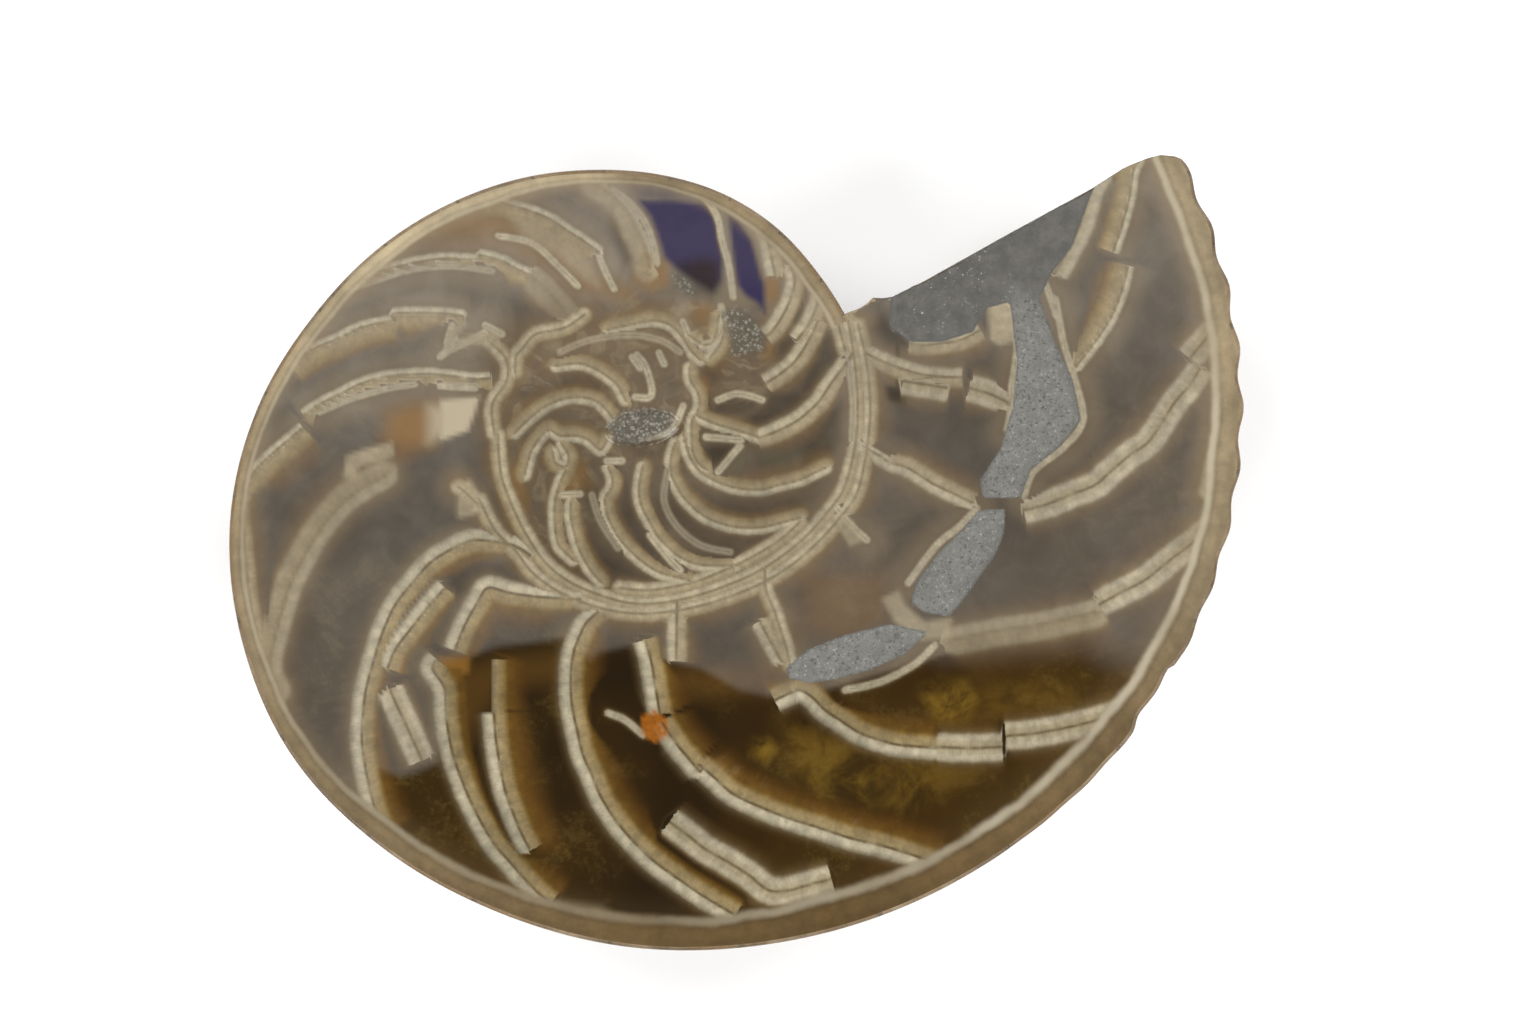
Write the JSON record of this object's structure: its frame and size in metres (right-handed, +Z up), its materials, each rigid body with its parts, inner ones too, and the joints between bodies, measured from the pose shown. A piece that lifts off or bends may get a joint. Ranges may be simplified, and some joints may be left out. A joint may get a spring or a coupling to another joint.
{
  "type": "fossil nautilus shell half",
  "caption": "Polished half of a fossil coiled shell: flat sawn face with curved chamber walls on top, ribbed rounded flank below, broken aperture at one side.",
  "frame": {"origin": "under the middle of the cut face's bounding box, on the surface that the flank rests on", "axes": "+X along the longest width of the cut face, +Z up out of the polished face"},
  "size_m": [0.1015, 0.0796, 0.02],
  "materials": {
    "polished_calcite": "polished brown calcite with cream chamber walls and grey sediment, and a satin tan outer shell"
  },
  "bodies": {
    "root": {"nautilus_half": "polished_calcite"}
  },
  "joints": []
}
